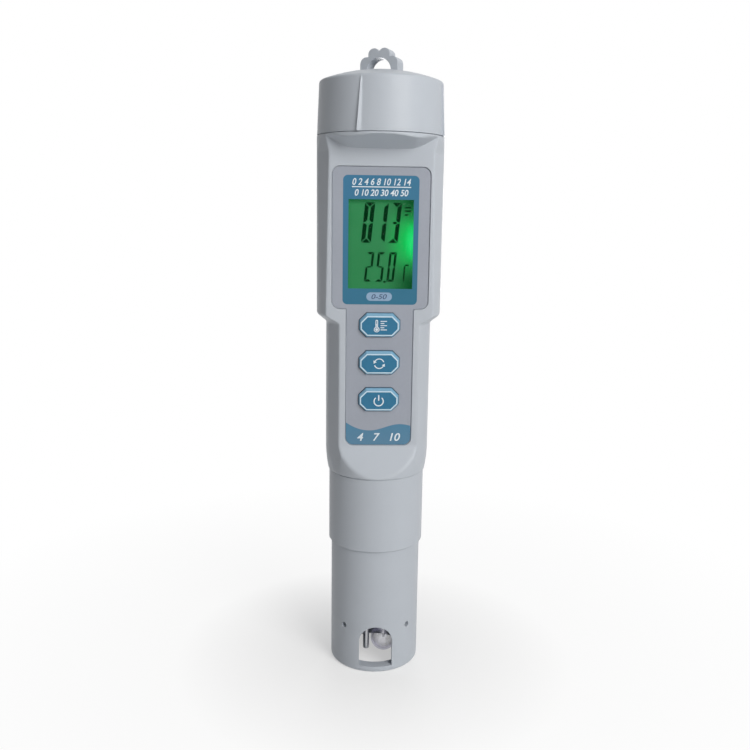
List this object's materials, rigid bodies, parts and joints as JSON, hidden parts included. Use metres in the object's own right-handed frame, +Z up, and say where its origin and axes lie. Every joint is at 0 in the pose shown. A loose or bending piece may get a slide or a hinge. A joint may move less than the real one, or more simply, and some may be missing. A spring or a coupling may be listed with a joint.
{
  "type": "pen-type ph meter",
  "caption": "Pen-type water tester: grey moulded body with a lit display, raised keys, a screw battery cap with a lanyard loop and a guarded glass sensor tip.",
  "frame": {"origin": "centre of the flat end of the sensor guard, on the surface it stands on", "axes": "+Z up along the pen to the cap, -Y out of the display, +X to the display's right"},
  "size_m": [0.038, 0.038, 0.1917],
  "materials": {
    "housing_grey": "fine satin moulded plastic",
    "seal_rubber": "matte rubber",
    "inner_white": "moulded plastic",
    "cell_steel": "nickel plated steel",
    "contact_brass": "plated contact metal",
    "spring_steel": "bright wire",
    "board_green": "solder mask",
    "chip_black": "moulded package",
    "display_green": "lit display",
    "window_clear": "clear window",
    "label_print": "printed film",
    "key_blue": "satin coloured plastic",
    "lead_red": "wire insulation",
    "sensor_glass": "clear glass",
    "sensor_wire": "silver wire",
    "junction_white": "porous ceramic",
    "probe_steel": "stainless steel"
  },
  "bodies": {
    "body": {"housing": "housing_grey", "cap_seal_ring": "seal_rubber", "battery_holder": "inner_white", "button_cells": "cell_steel", "base_contact": "contact_brass", "neck_contact": "contact_brass", "circuit_board": "board_green", "board_screws": "spring_steel", "controller_chip": "chip_black", "lcd_cell": "display_green", "lcd_backlight": "display_green", "lcd_frame": "inner_white", "zebra_strips": "chip_black", "window_lens": "window_clear", "label_panel": "label_print", "switch_bodies": "chip_black", "sensor_header": "inner_white", "sensor_leads": "lead_red", "sensor_sleeve": "housing_grey", "sleeve_seal_ring": "seal_rubber", "electrode_guard": "housing_grey", "sensor_base": "chip_black", "ph_electrode": "sensor_glass", "ph_wire": "sensor_wire", "reference_junction": "junction_white", "ec_pins": "probe_steel", "temperature_probe": "probe_steel"},
    "cap_contact": {"contact_disc": "contact_brass", "contact_rivet": "contact_brass", "battery_spring": "spring_steel"},
    "cap": {"battery_cap": "housing_grey"},
    "unit_key": {"key_unit": "key_blue", "switch_stem_unit": "chip_black"},
    "mode_key": {"key_mode": "key_blue", "switch_stem_mode": "chip_black"},
    "power_key": {"key_power": "key_blue", "switch_stem_power": "chip_black"}
  },
  "joints": [
    {"name": "cap_lift", "type": "slide", "parent": "body", "child": "cap_contact", "axis": [0, 0, 1], "range_m": [0, 0.0069]},
    {"name": "cap_turn", "type": "hinge", "parent": "cap_contact", "child": "cap", "pos_m": [0, 0, 0.1665], "axis": [0, 0, 1], "range_deg": [0, 990]},
    {"name": "unit_key_press", "type": "slide", "parent": "body", "child": "unit_key", "axis": [0, 1, 0], "range_m": [0, 0.0005], "stiffness_N_per_m": 2000, "springref_m": -0.0003},
    {"name": "mode_key_press", "type": "slide", "parent": "body", "child": "mode_key", "axis": [0, 1, 0], "range_m": [0, 0.0005], "stiffness_N_per_m": 2000, "springref_m": -0.0003},
    {"name": "power_key_press", "type": "slide", "parent": "body", "child": "power_key", "axis": [0, 1, 0], "range_m": [0, 0.0005], "stiffness_N_per_m": 2000, "springref_m": -0.0003}
  ],
  "couplings": [
    {"joint": "cap_lift", "follows": "cap_turn", "m_per_rad": 0.00039789}
  ]
}
